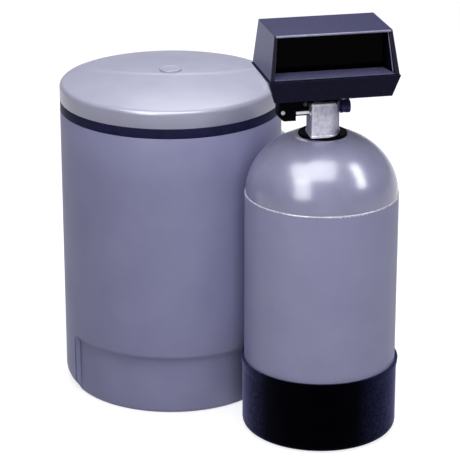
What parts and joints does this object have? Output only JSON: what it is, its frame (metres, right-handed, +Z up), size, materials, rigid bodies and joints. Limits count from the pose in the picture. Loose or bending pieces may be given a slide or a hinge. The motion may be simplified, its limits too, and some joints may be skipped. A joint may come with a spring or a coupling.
{
  "type": "water softener",
  "caption": "Water softener: domed resin tank in a boot with a gear-driven piston valve under a hooded panel, beside a wide lidded brine tank with salt grid and float well.",
  "frame": {"origin": "centre of the resin tank's boot, on the floor", "axes": "+Z up, -Y the side the control panel faces, +X the panel's right"},
  "size_m": [0.6291, 0.6967, 0.839],
  "materials": {
    "vessel_grey": "glossy wound and resin-coated vessel",
    "jacket_grey": "satin vinyl sleeve",
    "bead_white": "glossy sealing bead",
    "black_moulded": "satin black moulding",
    "plated": "satin plating",
    "white_pipe": "plain extruded pipe",
    "strainer": "moulded",
    "gravel": "loose gravel",
    "beads": "loose amber beads",
    "seal_rubber": "moulded",
    "gear_white": "moulded",
    "brass": "turned",
    "steel": "turned or pressed",
    "motor_case": "pressed can",
    "tray_dark": "satin moulding",
    "hood_grey": "satin moulding",
    "panel_black": "smoked gloss",
    "board_green": "lacquered board",
    "tank_grey": "rotationally moulded",
    "band_dark": "satin moulding",
    "lid_grey": "satin moulding",
    "grid_grey": "moulded",
    "float_white": "foam-filled moulding",
    "ball_blue": "moulded"
  },
  "bodies": {
    "base": {"resin_tank": "vessel_grey", "tank_jacket": "jacket_grey", "jacket_bead": "bead_white", "tank_boot": "black_moulded", "neck_insert": "black_moulded", "riser_tube": "white_pipe", "bottom_strainer": "strainer", "top_strainer": "strainer", "gravel_bed": "gravel", "resin_bed": "beads", "valve_body": "plated", "stack_seals": "seal_rubber", "stack_spacers": "strainer", "drive_cap": "black_moulded", "idler_pin": "steel", "gear_bracket": "black_moulded", "drive_motor": "motor_case", "cover_tray": "tray_dark", "tray_screws": "steel", "control_panel": "panel_black", "circuit_board": "board_green", "injector_block": "black_moulded", "injector_nozzle": "brass", "injector_cap": "black_moulded", "injector_screws": "steel", "block_clip": "steel", "brine_fitting": "white_pipe", "drain_fitting": "black_moulded", "brine_tank": "tank_grey", "rim_band": "band_dark", "salt_grid": "grid_grey", "brine_well": "grid_grey", "safety_valve": "white_pipe", "brine_outlet": "white_pipe", "pickup_tube": "white_pipe", "air_check": "strainer", "overflow_elbow": "black_moulded", "overflow_gasket": "seal_rubber", "overflow_nut": "black_moulded"},
    "lid": {"brine_lid": "lid_grey", "lid_disc": "lid_grey"},
    "well_cap_body": {"well_cap": "black_moulded"},
    "float_body": {"float": "float_white", "float_rod": "steel"},
    "ball_body": {"check_ball": "ball_blue"},
    "hood": {"cover_hood": "hood_grey"},
    "drive": {"drive_gear": "gear_white"},
    "reduction": {"reduction_gear": "gear_white"},
    "pinion": {"motor_pinion": "brass"},
    "piston_body": {"piston": "brass", "piston_rod": "steel"}
  },
  "joints": [
    {"name": "lid_lift", "type": "slide", "parent": "base", "child": "lid", "axis": [0, 0, 1], "range_m": [0, 0.3]},
    {"name": "well_cap_lift", "type": "slide", "parent": "base", "child": "well_cap_body", "axis": [0, 0, 1], "range_m": [0, 0.06]},
    {"name": "float_rise", "type": "slide", "parent": "base", "child": "float_body", "axis": [0, 0, 1], "range_m": [0, 0.014]},
    {"name": "ball_rise", "type": "slide", "parent": "base", "child": "ball_body", "axis": [0, 0, 1], "range_m": [0, 0.006]},
    {"name": "hood_lift", "type": "slide", "parent": "base", "child": "hood", "axis": [0, 0, 1], "range_m": [0, 0.12]},
    {"name": "drive_turn", "type": "hinge", "parent": "base", "child": "drive", "pos_m": [0, 0, 0.73], "axis": [0, 0, 1], "range_deg": [0, 720]},
    {"name": "reduction_turn", "type": "hinge", "parent": "base", "child": "reduction", "pos_m": [0.03875, 0, 0.73], "axis": [0, 0, 1], "range_deg": [-2469.57, 0]},
    {"name": "pinion_turn", "type": "hinge", "parent": "base", "child": "pinion", "pos_m": [0.0725, 0, 0.73], "axis": [0, 0, 1], "range_deg": [0, 7054.06]},
    {"name": "piston_lift", "type": "slide", "parent": "base", "child": "piston_body", "axis": [0, 0, 1], "range_m": [0, 0.0201]}
  ],
  "couplings": [
    {"joint": "reduction_turn", "follows": "drive_turn", "ratio": -3.4286},
    {"joint": "pinion_turn", "follows": "drive_turn", "ratio": 9.7959},
    {"joint": "piston_lift", "follows": "drive_turn", "m_per_rad": 0.0015915}
  ]
}
